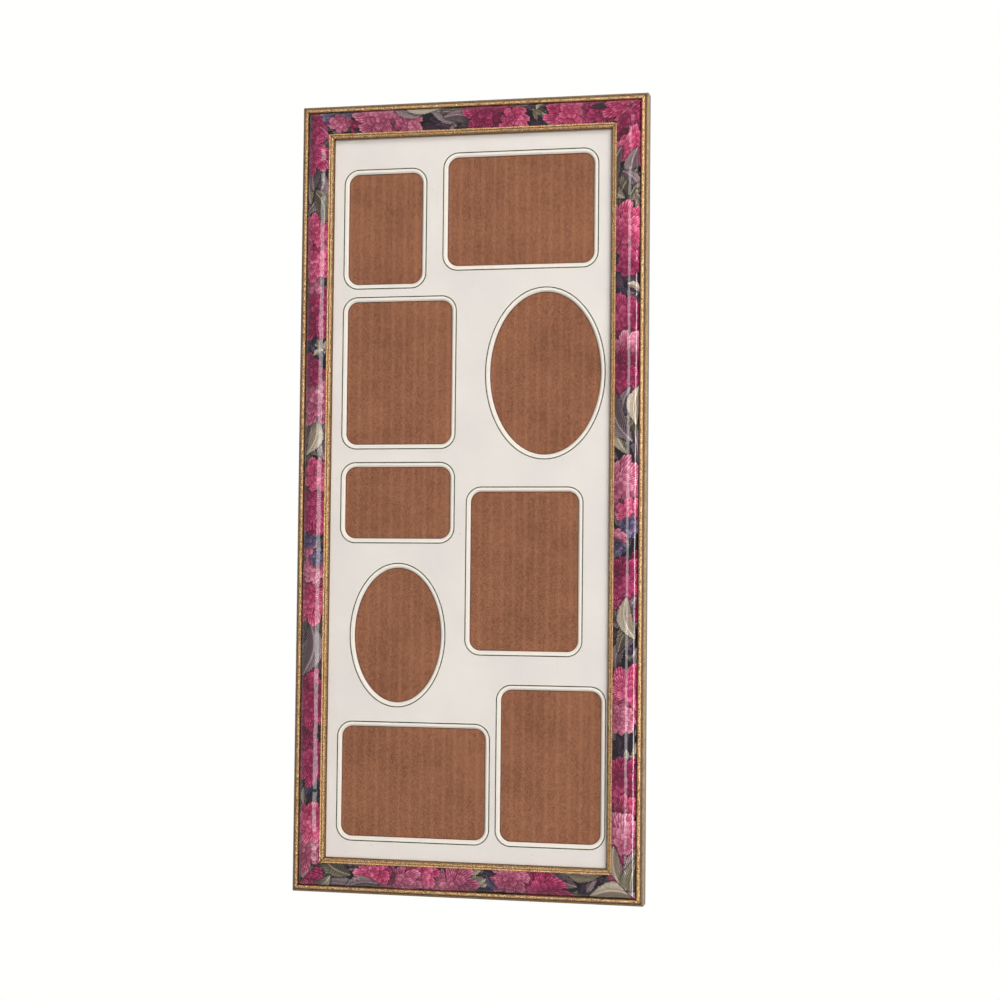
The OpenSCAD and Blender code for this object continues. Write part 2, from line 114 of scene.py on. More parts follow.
def swell_arc(step=OUTLINE_STEP, under=0.0):
    """The printed swell: an arc up to the crest and a tighter arc down from it, level there. Both
    radii lose the depth under the face."""
    lean_in = math.degrees(math.asin((SWELL_CREST[0] - SWELL_IN[0]) / SWELL_IN_R))
    lean_out = math.degrees(math.asin((SWELL_OUT[0] - SWELL_CREST[0]) / SWELL_OUT_R))
    rise = arc((SWELL_CREST[0], SWELL_CREST[1] - SWELL_IN_R), SWELL_IN_R - under,
               90 + lean_in, 90, step)
    fall = arc((SWELL_CREST[0], SWELL_CREST[1] - SWELL_OUT_R), SWELL_OUT_R - under,
               90, 90 - lean_out, step)
    return np.concatenate([rise, fall[1:]])


def distances_along(points):
    """How far along a line of points each one lies, from 0 at the first."""
    steps = np.linalg.norm(np.diff(points, axis=0), axis=1)
    return np.concatenate([[0], np.cumsum(steps)])


def moulding_outline():
    """The section, from the rebate's lip over the front to the wall and back along the wood.
    Each run of points has a finish and a share of darkening, part dark toner and part painted
    shade: strong in the sunk lines and the hollow, fading from the lip's foot to its end, and less
    on the bead's crest than on its flanks. The runs are resampled at one step, and the coated front
    and its darkening are averaged with a Gauss curve, which rounds every edge as coats do."""
    lip_line = LIP_END - SUNK_LINE_DEPTH
    bead_start = 180 + math.degrees(math.asin(SUNK_LINE_DEPTH / 2 / BEAD_R))
    bead_end = math.degrees(math.asin((HOLLOW[1] - BEAD[1]) / BEAD_R))
    arris = (HOLLOW[0], HOLLOW[1] - HOLLOW_R - ARRIS_R)
    lip = arch((0, LIP_FOOT), (LIP_W, LIP_END), LIP_CROWN)
    # Painted shade: the lip is darker from its end towards its foot, and the bead darker on its flanks
    # than on its crest.
    lip_toning_and_shade = 0.9 * np.linspace(1, 0, len(lip))
    bead = arc(BEAD, BEAD_R, bead_start, bead_end)
    bead_toning_and_shade = np.abs(np.linspace(-1, 1, len(bead)) + 0.1) ** 2.2
    # Each run: its finish, its share of dark toner and painted shade, and its points.
    runs = [
        (WOOD, 0, [(0, REBATE_DEPTH)]),
        (GILT, 0.9, [(0, REBATE_DEPTH + 0.3 * MM)]),
        (GILT, lip_toning_and_shade, lip),
        (GILT, 0.5, [(LIP_W, lip_line), (LIP_W + SUNK_LINE_W, lip_line)]),
        (GILT, 0, [(LIP_W + SUNK_LINE_W, FILLET_END - 0.2 * MM), (SWELL_IN[0], FILLET_END)]),
        (GILT, 1, swell_arc(under=FILM_BED)),
        (GILT, 1, [(SWELL_OUT[0], SWELL_OUT[1] - SUNK_LINE_DEPTH)]),
        (GILT, bead_toning_and_shade, bead),
        (GILT, 0.9, arc(HOLLOW, HOLLOW_R, 180, 250)),
        (WALL, 0.3, arc(HOLLOW, HOLLOW_R, 250, 270)),
        (WALL, 0, arc(arris, ARRIS_R, 90, 0)),
        (WALL, 0.6, [(MOULDING_W, HOLLOW[1] - HOLLOW_R - 2 * ARRIS_R), (MOULDING_W, 1.5 * MM)]),
        (WOOD, 0, [(MOULDING_W, 0), (REBATE_W, 0), (REBATE_W, REBATE_DEPTH)]),
    ]
    points = np.concatenate([np.array(run, float) for _, _, run in runs])
    finishes = np.concatenate([np.full(len(run), finish) for finish, _, run in runs])
    tonings_and_shade = np.concatenate([toning_and_shade + np.zeros(len(run)) for _, toning_and_shade, run in runs])
    loop = np.concatenate([points, points[:1]])
    reach = distances_along(loop)
    places = np.linspace(0, reach[-1], int(reach[-1] / OUTLINE_STEP), endpoint=False)
    even = np.stack([np.interp(places, reach, loop[:, k]) for k in (0, 1)], 1)
    run_of = np.clip(np.searchsorted(reach, places, side="right") - 1, 0, len(points) - 1)
    zone = finishes[run_of]
    away = np.arange(-4, 5)
    weights = np.exp(-0.5 * (away * OUTLINE_STEP / COAT_SOFTENING) ** 2)
    soft = sum(w * np.roll(even, -k, axis=0) for w, k in zip(weights, away)) / weights.sum()
    coated = (zone != WOOD) & (np.roll(zone, 3) != WOOD) & (np.roll(zone, -3) != WOOD)
    point_toning_and_shade = tonings_and_shade[run_of]
    toning_and_shade = sum(w * np.roll(point_toning_and_shade, -k) for w, k in zip(weights, away)) / weights.sum()
    return np.where(coated[:, None], soft, even), zone, toning_and_shade


def carried_along(rail, outline, stations):
    """Places of the section's points at each station, as an array (station, point, 3).
    A point u out from the sight edge runs the rail's half length plus u each way, so that the
    ends are mitres. Near them the surface sinks by a Gauss curve of the distance to the mitre,
    and the frame's outer corners are drawn in to a quarter circle."""
    outward, half_along, half_across = RAILS[rail]
    outward = np.array(outward, float)
    along = np.array([outward[1], -outward[0]])
    u, v = outline[:, 0], outline[:, 1]
    half = half_along + u[None, :] - MITRE_GAP
    run = stations[:, None] * half
    to_mitre = (half - np.abs(run)) / math.sqrt(2)
    front = v > LIP_FOOT * 0.6
    sink = MITRE_EASE * np.exp(-((to_mitre / MITRE_EASE_REACH) ** 2)) * front[None, :]
    reach = half_across + u[None, :] + 0 * run
    corner_along = half_along + MOULDING_W - CORNER_R
    corner_across = half_across + MOULDING_W - CORNER_R
    over_along = np.abs(run) - corner_along
    over_across = reach - corner_across
    distance = np.hypot(np.maximum(over_along, 0), np.maximum(over_across, 0))
    beyond = (distance > CORNER_R) & (over_along > 0) & (over_across > 0)
    draw = np.where(beyond, CORNER_R / np.maximum(distance, 1e-9), 1)
    run = np.where(beyond, np.sign(run) * (corner_along + over_along * draw), run)
    reach = np.where(beyond, corner_across + over_across * draw, reach)
    plan = outward * reach[..., None] + along * run[..., None]
    depth = BACK_Y - v[None, :] + sink
    places = np.stack([plan[..., 0], depth, MIDDLE_Z + plan[..., 1]], -1)
    return places, run, to_mitre


def closed_bar(name, places):
    """A mesh from an array (station, point, 3): quads between neighbours, the last point joined
    to the first, and one face on each end. If its volume comes out negative, its faces turn."""
    stations, points = places.shape[:2]
    number = np.arange(stations * points).reshape(stations, points)
    a, b = number[:-1], number[1:]
    quads = np.stack([a, np.roll(a, -1, 1), np.roll(b, -1, 1), b], -1).reshape(-1, 4)
    flat = places.reshape(-1, 3)
    p0, p1, p2, p3 = (flat[quads[:, k]] for k in range(4))
    volume = np.einsum("ij,ij->i", p0, np.cross(p1, p2) + np.cross(p2, p3)).sum()
    faces = quads if volume > 0 else quads[:, ::-1]
    first, last = number[0][::-1], number[-1]
    caps = [first, last] if volume > 0 else [first[::-1], last[::-1]]
    mesh = bpy.data.meshes.new(name)
    mesh.from_pydata(flat.tolist(), [], faces.tolist() + [cap.tolist() for cap in caps])
    mesh.update()
    return mesh


def put_in_scene(name, data):
    """An object of that name with its data, in the scene."""
    thing = bpy.data.objects.new(name, data)
    bpy.context.scene.collection.objects.link(thing)
    return thing


def piece(name, mesh, finishes, body, smooth_angle=40):
    """An object on its body, with smooth faces apart from edges past that angle."""
    thing = put_in_scene(name, mesh)
    for finish in finishes:
        mesh.materials.append(finish)
    mesh.shade_smooth()
    mesh.set_sharp_from_angle(angle=math.radians(smooth_angle))
    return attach(thing, body)


def point_values(mesh, name, values):
    """One number for each point of the mesh, kept as an attribute."""
    kept = mesh.attributes.new(name, "FLOAT", "POINT")
    kept.data.foreach_set("value", values.astype(np.float32).ravel())


def new_finish(name):
    """A material with one Principled shader: the material, its nodes, its links, its shader."""
    finish = bpy.data.materials.new(name)
    finish.use_nodes = True
    nodes, links = finish.node_tree.nodes, finish.node_tree.links
    return finish, nodes, links, nodes["Principled BSDF"]


def settle(shader, **values):
    """Sets inputs that are the same all over. An underscore stands for a space in a name."""
    for name, value in values.items():
        shader.inputs[name.replace("_", " ")].default_value = value


def where(nodes, links, stretch=(1, 1, 1), turn=(0, 0, 0)):
    """Object coordinates, scaled by stretch after a turn in degrees."""
    place = nodes.new("ShaderNodeTexCoord")
    mapping = nodes.new("ShaderNodeMapping")
    mapping.inputs["Scale"].default_value = stretch
    mapping.inputs["Rotation"].default_value = [math.radians(a) for a in turn]
    links.new(place.outputs["Object"], mapping.inputs["Vector"])
    return mapping.outputs["Vector"]


def noise(nodes, links, vector, per_metre, detail=3.0, roughness=0.55, distortion=0.0):
    """Fractal noise with that many lumps a metre."""
    made = nodes.new("ShaderNodeTexNoise")
    made.inputs["Scale"].default_value = per_metre
    made.inputs["Detail"].default_value = detail
    made.inputs["Roughness"].default_value = roughness
    made.inputs["Distortion"].default_value = distortion
    links.new(vector, made.inputs["Vector"])
    return made.outputs["Fac"]


def ramp(nodes, links, amount, stops):
    """Colours at places from 0 to 1, mixed between."""
    made = nodes.new("ShaderNodeValToRGB")
    band = made.color_ramp
    band.elements[0].position, band.elements[0].color = stops[0]
    band.elements[1].position, band.elements[1].color = stops[-1]
    for place, colour in stops[1:-1]:
        band.elements.new(place).color = colour
    links.new(amount, made.inputs["Fac"])
    return made.outputs["Color"]


def grey(level):
    """A neutral of that level, for ramps that drive numbers."""
    return (level, level, level, 1.0)


def mixed(nodes, links, share, first, second, kind="MIX"):
    """first and second mixed by share. Each is an output or a plain value."""
    made = nodes.new("ShaderNodeMix")
    made.data_type = "RGBA"
    made.blend_type = kind
    for socket, value in zip((made.inputs[0], made.inputs[6], made.inputs[7]), (share, first, second)):
        if isinstance(value, bpy.types.NodeSocket):
            links.new(value, socket)
        else:
            socket.default_value = value
    return made.outputs[2]


def relief(nodes, links, height, depth):
    """A bump of that depth in metres for a height from 0 to 1."""
    made = nodes.new("ShaderNodeBump")
    made.inputs["Distance"].default_value = depth
    links.new(height, made.inputs["Height"])
    return made.outputs["Normal"]


def maths(nodes, links, operation, *values):
    """One Math node on outputs or plain numbers."""
    made = nodes.new("ShaderNodeMath")
    made.operation = operation
    for socket, value in zip(made.inputs, values):
        if isinstance(value, bpy.types.NodeSocket):
            links.new(value, socket)
        else:
            socket.default_value = value
    return made.outputs[0]


def weighted(nodes, links, *shares):
    """The sum of each value times its weight."""
    total = None
    for value, weight in shares:
        part = maths(nodes, links, "MULTIPLY", value, weight)
        total = part if total is None else maths(nodes, links, "ADD", total, part)
    return total


def object_axes(nodes, links):
    """Object coordinates as three outputs: x, y and z in metres."""
    place = nodes.new("ShaderNodeTexCoord")
    split = nodes.new("ShaderNodeSeparateXYZ")
    links.new(place.outputs["Object"], split.inputs[0])
    return split.outputs


def attribute(nodes, name, output="Fac"):
    """A mesh attribute by name."""
    made = nodes.new("ShaderNodeAttribute")
    made.attribute_name = name
    return made.outputs[output]


def gilt_finish():
    """Bronze powder in lacquer over brown: bright and dark grains, browner patches, a dark toner
    brushed on and rubbed off so that it stays in the sunk lines and seams, and painted shade that
    darkens the flanks of the lip and the bead."""
    finish, nodes, links, shader = new_finish("gilt_coat")
    vector = where(nodes, links)
    grain = noise(nodes, links, vector, 1500, 2, 0.7)
    sparkle = noise(nodes, links, vector, 3400, 1, 0.5)
    patch = noise(nodes, links, vector, 300, 4, 0.65)
    fine = ramp(nodes, links, grain, [
        (0.36, screen(64, 36, 12)),
        (0.45, screen(138, 92, 46)),
        (0.54, screen(206, 156, 98)),
        (0.62, screen(255, 230, 184))])
    worn = ramp(nodes, links, patch, [(0.36, screen(96, 64, 30)), (0.62, screen(200, 154, 100))])
    colour = mixed(nodes, links, 0.26, fine, worn)
    # The darkening share: dark toner in the sunk lines and painted shade on the flanks of the lip and
    # the bead.
    darkened_by_toner_and_shade = mixed(nodes, links, attribute(nodes, "toning_and_shade"), colour, screen(50, 30, 16))
    colour = mixed(nodes, links, attribute(nodes, "seam"), darkened_by_toner_and_shade, screen(46, 30, 16))
    links.new(colour, shader.inputs["Base Color"])
    settle(shader, Metallic=0.4, Specular_IOR_Level=0.3)
    rough = ramp(nodes, links, sparkle, [(0.4, grey(0.50)), (0.66, grey(0.24))])
    links.new(rough, shader.inputs["Roughness"])
    links.new(relief(nodes, links, grain, 0.0003), shader.inputs["Normal"])
    return finish


def bare_wood_finish():
    """Bare pale softwood: rings drawn out along the bar, fine pores, planer marks."""
    finish, nodes, links, shader = new_finish("bare_wood")
    kept = nodes.new("ShaderNodeUVMap")
    kept.uv_map = "along_the_bar"
    mapping = nodes.new("ShaderNodeMapping")
    mapping.inputs["Scale"].default_value = (1, 14, 1)
    links.new(kept.outputs["UV"], mapping.inputs["Vector"])
    rings = noise(nodes, links, mapping.outputs["Vector"], 18, 3, 0.5, 0.6)
    pores = noise(nodes, links, mapping.outputs["Vector"], 160, 2, 0.6)
    colour = ramp(nodes, links, rings, [
        (0.30, screen(170, 128, 84)),
        (0.48, screen(206, 168, 120)),
        (0.56, screen(186, 144, 98)),
        (0.72, screen(220, 186, 140))])
    dark = ramp(nodes, links, pores, [(0.35, grey(0.74)), (0.5, grey(1.0))])
    links.new(mixed(nodes, links, 0.7, colour, dark, "MULTIPLY"), shader.inputs["Base Color"])
    settle(shader, Roughness=0.72)
    links.new(relief(nodes, links, pores, 0.0001), shader.inputs["Normal"])
    return finish


def outer_wall_finish():
    """Toned bronze on the outer edge and wall: dark olive brown with a soft sheen, rubbed in places,
    and darker on the wall than on the arris, part toner and part painted shade.
    """
    finish, nodes, links, shader = new_finish("toned_bronze_wall")
    vector = where(nodes, links)
    patch = noise(nodes, links, vector, 180, 4, 0.6)
    grain = noise(nodes, links, vector, 1300, 2, 0.65)
    colour = ramp(nodes, links, patch, [(0.3, screen(92, 70, 42)), (0.7, screen(140, 114, 76))])
    fine = ramp(nodes, links, grain, [(0.35, screen(60, 42, 20)), (0.68, screen(196, 168, 122))])
    colour = mixed(nodes, links, 0.4, colour, fine)
    # The darkening share, part toner and part painted shade.
    colour = mixed(nodes, links, attribute(nodes, "toning_and_shade"), colour, screen(56, 38, 22))
    colour = mixed(nodes, links, attribute(nodes, "seam"), colour, screen(40, 30, 18))
    links.new(colour, shader.inputs["Base Color"])
    settle(shader, Metallic=0.4, Roughness=0.46)
    links.new(relief(nodes, links, grain, 0.0001), shader.inputs["Normal"])
    return finish


bar_outline, bar_zones, bar_toning_and_shade = moulding_outline()
bar_reach = distances_along(bar_outline)
bar_finishes = [gilt_finish(), outer_wall_finish(), bare_wood_finish()]


def stations_along(half_length, near_mitre, start, count):
    """Stations from -1 to 1: at the given millimetres from each mitre, where the edges are eased,
    and that many more, evenly spaced, from start millimetres on."""
    near = np.array(near_mitre) * MM / half_length
    inner = 1 - start * MM / half_length
    return np.concatenate([-1 + near, np.linspace(-inner, inner, count), (1 - near)[::-1]])


def lay_out_along(mesh, run, reach):
    """The UV map along_the_bar: metres along the rail and metres round its section."""
    layer = mesh.uv_layers.new(name="along_the_bar")
    corner = np.zeros(len(mesh.loops), np.int32)
    mesh.loops.foreach_get("vertex_index", corner)
    both = np.stack([run.ravel(), np.broadcast_to(reach, run.shape).ravel()], 1)
    layer.data.foreach_set("uv", both[corner].astype(np.float32).ravel())


for rail in RAILS:
    stations = stations_along(RAILS[rail][1], [0, 0.12, 0.25, 0.4, 0.6, 0.9, 1.5, 2.5], 5, 24)
    places, run, to_mitre = carried_along(rail, bar_outline, stations)
    mesh = closed_bar(rail + "_moulding", places)
    lay_out_along(mesh, run, bar_reach)
    # Kept for each point: the darkening share of toner and painted shade.
    point_values(mesh, "toning_and_shade", np.broadcast_to(bar_toning_and_shade, run.shape))
    point_values(mesh, "seam", 0.8 * np.exp(-((to_mitre / (0.25 * MM)) ** 2)))
    strips = len(mesh.polygons) - 2
    of_face = np.concatenate([np.tile(bar_zones, strips // len(bar_zones)), [WOOD, WOOD]])
    bar = piece(rail + "_moulding", mesh, bar_finishes, "frame")
    mesh.polygons.foreach_set("material_index", of_face.astype(np.int32))
    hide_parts(rail)

# The printed film: a thin lacquered transfer with blossoms and leaves, pressed over the whole
# swell of each length before the lengths are cut, so that the pattern breaks at each mitre.
# The blossoms are this part's own drawing, in the pinks, mauves and greys of such a print.
FILM_STEP = 0.36 * MM
FILM_T = 0.12 * MM
HOT_PINK = (screen(90, 10, 44), screen(190, 54, 102), screen(238, 150, 174))
CRIMSON = (screen(60, 4, 32), screen(146, 20, 74), screen(212, 92, 136))
ROSE = (screen(92, 24, 54), screen(180, 80, 112), screen(232, 166, 184))
MAUVE_GREY = (screen(48, 34, 42), screen(132, 108, 116), screen(216, 200, 190))
CREAM = (screen(96, 76, 66), screen(190, 174, 150), screen(246, 238, 222))
VIOLET = (screen(26, 16, 42), screen(80, 62, 100), screen(158, 140, 170))
DARK_LEAF = (screen(20, 6, 22), screen(54, 28, 52), screen(112, 86, 106))
PLUM_LEAF = (screen(34, 12, 32), screen(82, 46, 72), screen(150, 120, 134))
OLIVE_LEAF = (screen(36, 28, 26), screen(108, 96, 78), screen(204, 192, 162))


def film_outline():
    """The swell's arc as the film's face, closed by a coarser arc underneath."""
    top = swell_arc(FILM_STEP)
    return np.concatenate([top, swell_arc(FILM_STEP, FILM_T)[::-9]]), len(top)


def three_tones(palette, amount):
    """A palette's dark, middle and light tones at amounts 0, 0.5 and 1, mixed between."""
    dark, middle, light = (np.array(tone[:3]) for tone in palette)
    amount = np.clip(amount, 0, 1)[:, None]
    low = dark + (middle - dark) * np.minimum(amount * 2, 1)
    return low + (light - middle) * np.maximum(amount * 2 - 1, 0)


def scattered(number, seed):
    """A value from 0 to 1 for each whole number, without order."""
    return np.modf(np.abs(np.sin(number * 12.99 + seed * 7.23)) * 437.5)[0]


def paint_blossom(colours, run, across, middle, radius, rings, petals, palette, seed):
    """Rings of petals, laid from the outermost inwards, over a shadow that reaches past the rim.
    In ring k the petal's tip stands at R (1 - k/n)^0.85 (1 - s |x|^2.2), where x goes from -1 to 1
    across a petal. A petal is light at its tip and dark at its base and sides, with fine veins
    that fan out, and the side of the blossom away from the light is darker."""
    chance = np.random.default_rng(seed)
    near = np.abs(run - middle[0]) < radius * 1.4
    x, y = run[near] - middle[0], across[near] - middle[1]
    angle = np.arctan2(y, x) + chance.uniform(0, 6.3)
    distance = np.hypot(x, y)
    bulge = 1 + 0.08 * np.sin(3 * angle + chance.uniform(0, 6.3)) + 0.05 * np.sin(5 * angle)
    distance = distance * bulge
    shadow = np.clip((distance - radius * 0.8) / (radius * 0.42), 0, 1)
    tones = colours[near] * (0.25 + 0.75 * shadow)[:, None]
    turned = 0.12 * np.cos(angle - chance.uniform(0, 6.3))
    for ring in range(rings):
        outer = radius * (1 - ring / rings) ** 0.85
        step = radius * 0.85 / rings
        count = max(4, petals - ring)
        phase = (angle + 0.5 * distance / radius) * count / (2 * math.pi)
        phase = phase + 0.5 * ring + chance.uniform(0, 0.3)
        number = np.floor(phase)
        over = 2 * (phase - number) - 1
        jitter = scattered(np.mod(number, count), seed + ring)
        over = over + 0.3 * (jitter - 0.5) * (1 - over * over)
        ripple = 0.025 * np.sin(over * 9 + jitter * 20)
        tip = outer * (1 - 0.26 * np.abs(over) ** 2.4 + ripple) * (0.88 + 0.16 * jitter)
        inside = distance < tip
        depth = np.clip((tip - distance) / step, 0, 6)
        fan = np.sin(over * 19 + jitter * 6 + 1.5 * depth)
        tone = 0.40 + 0.30 * (1 - np.abs(over) ** 2) * np.exp(-1.2 * depth)
        tone = tone + 0.30 * fan * np.exp(-0.4 * depth) + 0.34 * (jitter - 0.5) + turned
        tone = tone - 0.20 * np.minimum(depth, 1.3) - 0.34 * (np.abs(over) > 0.93)
        tone = np.where(depth < 0.07, tone - 0.3, tone)
        tones = np.where(inside[:, None], three_tones(palette, tone), tones)
    heart = distance < radius * 0.12
    dots = 0.5 + 0.5 * np.sin(x / (0.3 * MM)) * np.sin(y / (0.3 * MM))
    tones = np.where(heart[:, None], three_tones(palette, 0.75 * dots - 0.1), tones)
    colours[near] = tones


def paint_leaf(colours, run, across, foot, turn, length, width, palette, bend=0.25, teeth=14):
    """A leaf along a bent midrib: half width w sin(pi a)^0.7, cut into teeth that point forwards,
    with a light midrib and lit side veins, over a narrow shadow."""
    near = np.abs(run - foot[0]) < length * 1.2
    x, y = run[near] - foot[0], across[near] - foot[1]
    c, s = math.cos(turn), math.sin(turn)
    a = (x * c + y * s) / length
    inner = np.clip(a, 0, 1)
    b = (y * c - x * s) / width - bend * np.sin(math.pi * inner) * length / width * 0.5
    on = (a > 0) & (a < 1)
    saw = np.mod((a - 0.22 * np.abs(b)) * teeth, 1)
    half = np.sin(math.pi * inner) ** 0.7 * (0.72 + 0.34 * saw)
    inside = on & (np.abs(b) < half)
    shade = (a > -0.04) & (a < 1.04) & (np.abs(b) < half + 0.3) & ~inside
    rib = np.exp(-((b / 0.08) ** 2))
    tone = 0.12 + 0.5 * rib + 0.75 * saw ** 2 * (0.4 + 0.6 * np.abs(b))
    tone = tone - 0.35 * (saw < 0.16) + 0.16 * np.sin(b * 2.5)
    tones = colours[near]
    tones[shade] *= 0.35
    tones[inside] = three_tones(palette, tone[inside])
    colours[near] = tones


def paint_ground(colours, run, across, chance):
    """The ground: small and middling leaves thrown down thickly along the whole length, dark
    ones first, then mauve grey and olive ones in drifts."""
    low, high, width = run.min(), run.max(), across.max()
    for spacing, least, most, palettes in (
            (2.6 * MM, 8 * MM, 13 * MM, (DARK_LEAF, PLUM_LEAF)),
            (4.2 * MM, 9 * MM, 15 * MM, (MAUVE_GREY, PLUM_LEAF, OLIVE_LEAF))):
        for at in np.arange(low, high, spacing):
            foot = (at, chance.uniform(-0.1, 1.1) * width)
            drift = int(len(palettes) * (0.5 + 0.49 * math.sin(at / (19 * MM))))
            palette = palettes[(drift + chance.integers(2)) % len(palettes)]
            size = chance.uniform(least, most)
            paint_leaf(colours, run, across, foot, chance.uniform(0, 6.3), size, size * 0.22,
                       palette, chance.uniform(-0.3, 0.3), 10)


def painted_print(run, across, seed):
    """The print's colours at places in metres along the film and across it: the ground, then one
    patch after another of large blossoms, small blossoms among dark leaves, or long leaves."""
    chance = np.random.default_rng(seed)
    colours = np.tile(np.array(DARK_LEAF[0][:3]), (len(run), 1))
    high, width = run.max(), across.max()
    paint_ground(colours, run, across, chance)
    at = run.min() - 10 * MM
    patches = ["large", "large", "leaves", "large", "small", "large", "leaves", "large", "sprays"]
    patch = seed
    while at < high + 12 * MM:
        kind = patches[patch % len(patches)]
        patch += 1
        if kind == "leaves":
            for leaf in range(9):
                foot = (at + chance.uniform(-8, 30) * MM, chance.uniform(-0.1, 1.1) * width)
                turn = chance.choice([0.0, math.pi]) + chance.uniform(-0.7, 0.7)
                palette = (MAUVE_GREY, MAUVE_GREY, OLIVE_LEAF, CREAM)[leaf % 4]
                size = chance.uniform(24, 38) * MM
                paint_leaf(colours, run, across, foot, turn, size, size * 0.19, palette, 0.3, 19)
            at += 36 * MM
        elif kind == "sprays":
            for leaf in range(16):
                foot = (at + chance.uniform(-10, 16) * MM, chance.uniform(-0.1, 1.1) * width)
                palette = (CREAM, DARK_LEAF, VIOLET, CREAM)[leaf % 4]
                size = chance.uniform(7, 13) * MM
                turn = chance.uniform(-1.2, 1.2)
                paint_leaf(colours, run, across, foot, turn, size, size * 0.2, palette, 0.2, 9)
            at += 22 * MM
        elif kind == "small":
            for blossom in range(4):
                middle = (at + (blossom - 1.5) * 7 * MM, chance.uniform(0.1, 0.9) * width)
                palette = (VIOLET, ROSE, VIOLET, CRIMSON)[blossom]
                paint_blossom(colours, run, across, middle, chance.uniform(6, 8.5) * MM,
                              2, 8, palette, seed * 53 + patch * 7 + blossom)
            at += 26 * MM
        else:
            for leaf in range(4):
                foot = (at + chance.uniform(-14, 14) * MM, chance.uniform(0, 1) * width)
                size = chance.uniform(9, 14) * MM
                turn = chance.uniform(0, 6.3)
                paint_leaf(colours, run, across, foot, turn, size, size * 0.2, DARK_LEAF, 0.2, 7)
            side = chance.uniform(0.15, 0.85)
            palette = (HOT_PINK, CRIMSON, ROSE, CRIMSON)[(patch // 2 + seed) % 4]
            paint_blossom(colours, run, across, (at, side * width), chance.uniform(17, 22) * MM,
                          5, 10, palette, seed * 97 + patch)
            beside = (at + chance.uniform(17, 22) * MM, (1 - side) * width)
            palette = (ROSE, HOT_PINK, CRIMSON)[(patch // 2 + seed) % 3]
            paint_blossom(colours, run, across, beside, chance.uniform(11, 15) * MM,
                          4, 9, palette, seed * 31 + patch)
            at += 38 * MM
    return colours


def printed_film_finish():
    """The print's own colours under clear lacquer, with faint mottling and a gentle waviness."""
    finish, nodes, links, shader = new_finish("lacquered_print")
    vector = where(nodes, links)
    mottle = noise(nodes, links, vector, 1500, 2, 0.6)
    wave = noise(nodes, links, vector, 60, 3, 0.5)
    tint = ramp(nodes, links, mottle, [(0.3, grey(0.74)), (0.7, grey(1.12))])
    colour = mixed(nodes, links, 1.0, attribute(nodes, "print", "Color"), tint, "MULTIPLY")
    colour = mixed(nodes, links, attribute(nodes, "seam"), colour, screen(30, 16, 18))
    links.new(colour, shader.inputs["Base Color"])
    settle(shader, Roughness=0.45, Specular_IOR_Level=0.0, Coat_Weight=0.6, Coat_Roughness=0.08)
    links.new(relief(nodes, links, wave, 0.0006), shader.inputs["Normal"])
    links.new(relief(nodes, links, wave, 0.0006), shader.inputs["Coat Normal"])
    return finish


film_section, film_top_points = film_outline()
film_reach = distances_along(film_section)
film_finish = printed_film_finish()

for number, rail in enumerate(RAILS):
    half_length = RAILS[rail][1] + MOULDING_W * 0.7
    count = int(2 * half_length / FILM_STEP)
    stations = stations_along(half_length, [0, 0.1, 0.2, 0.32], 0.5, count)
    places, run, to_mitre = carried_along(rail, film_section, stations)
    mesh = closed_bar(rail + "_print", places)
    lay_out_along(mesh, run, film_reach)
    across = np.broadcast_to(film_reach, run.shape).copy()
    across[:, film_top_points:] = film_reach[film_top_points - 1]
    colours = painted_print(run.ravel(), across.ravel(), number + 3)
    layer = mesh.color_attributes.new("print", "FLOAT_COLOR", "POINT")
    layer.data.foreach_set("color", np.insert(colours, 3, 1.0, axis=1).astype(np.float32).ravel())
    point_values(mesh, "seam", 0.9 * np.exp(-((to_mitre / (0.28 * MM)) ** 2)))
    film = piece(rail + "_print", mesh, [film_finish], "frame", 60)

# The nails across the mitres: V-shaped strips of plated steel, driven flush into the back of
# each corner. Only their edges show, in the back of the moulding.


def zinc_finish(name, light, dark, rough):
    """Plated steel: a pale metal with cloudy patches and fine handling scratches."""
    finish, nodes, links, shader = new_finish(name)
    cloud = noise(nodes, links, where(nodes, links), 900, 4, 0.6)
    scratch = noise(nodes, links, where(nodes, links, (1, 1, 16), (0, 24, 0)), 700, 2, 0.6)
    colour = ramp(nodes, links, cloud, [(0.35, dark), (0.65, light)])
    links.new(colour, shader.inputs["Base Color"])
    settle(shader, Metallic=1.0)
    wear = ramp(nodes, links, scratch, [(0.35, grey(rough + 0.10)), (0.65, grey(rough - 0.06))])
    links.new(wear, shader.inputs["Roughness"])
    links.new(relief(nodes, links, scratch, 0.00001), shader.inputs["Normal"])
    return finish


def dress(node, finish):
    """Gives a CAD node its finish."""
    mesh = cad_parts[node].data
    mesh.materials.clear()
    mesh.materials.append(finish)


zinc = zinc_finish("zinc_plated_steel", screen(180, 183, 184), screen(150, 155, 160), 0.46)
dress("corner_v_nails", zinc)

# The glass: one pane of clear 2 mm sheet, cut to size, that rests against the back of the
# sight lip.


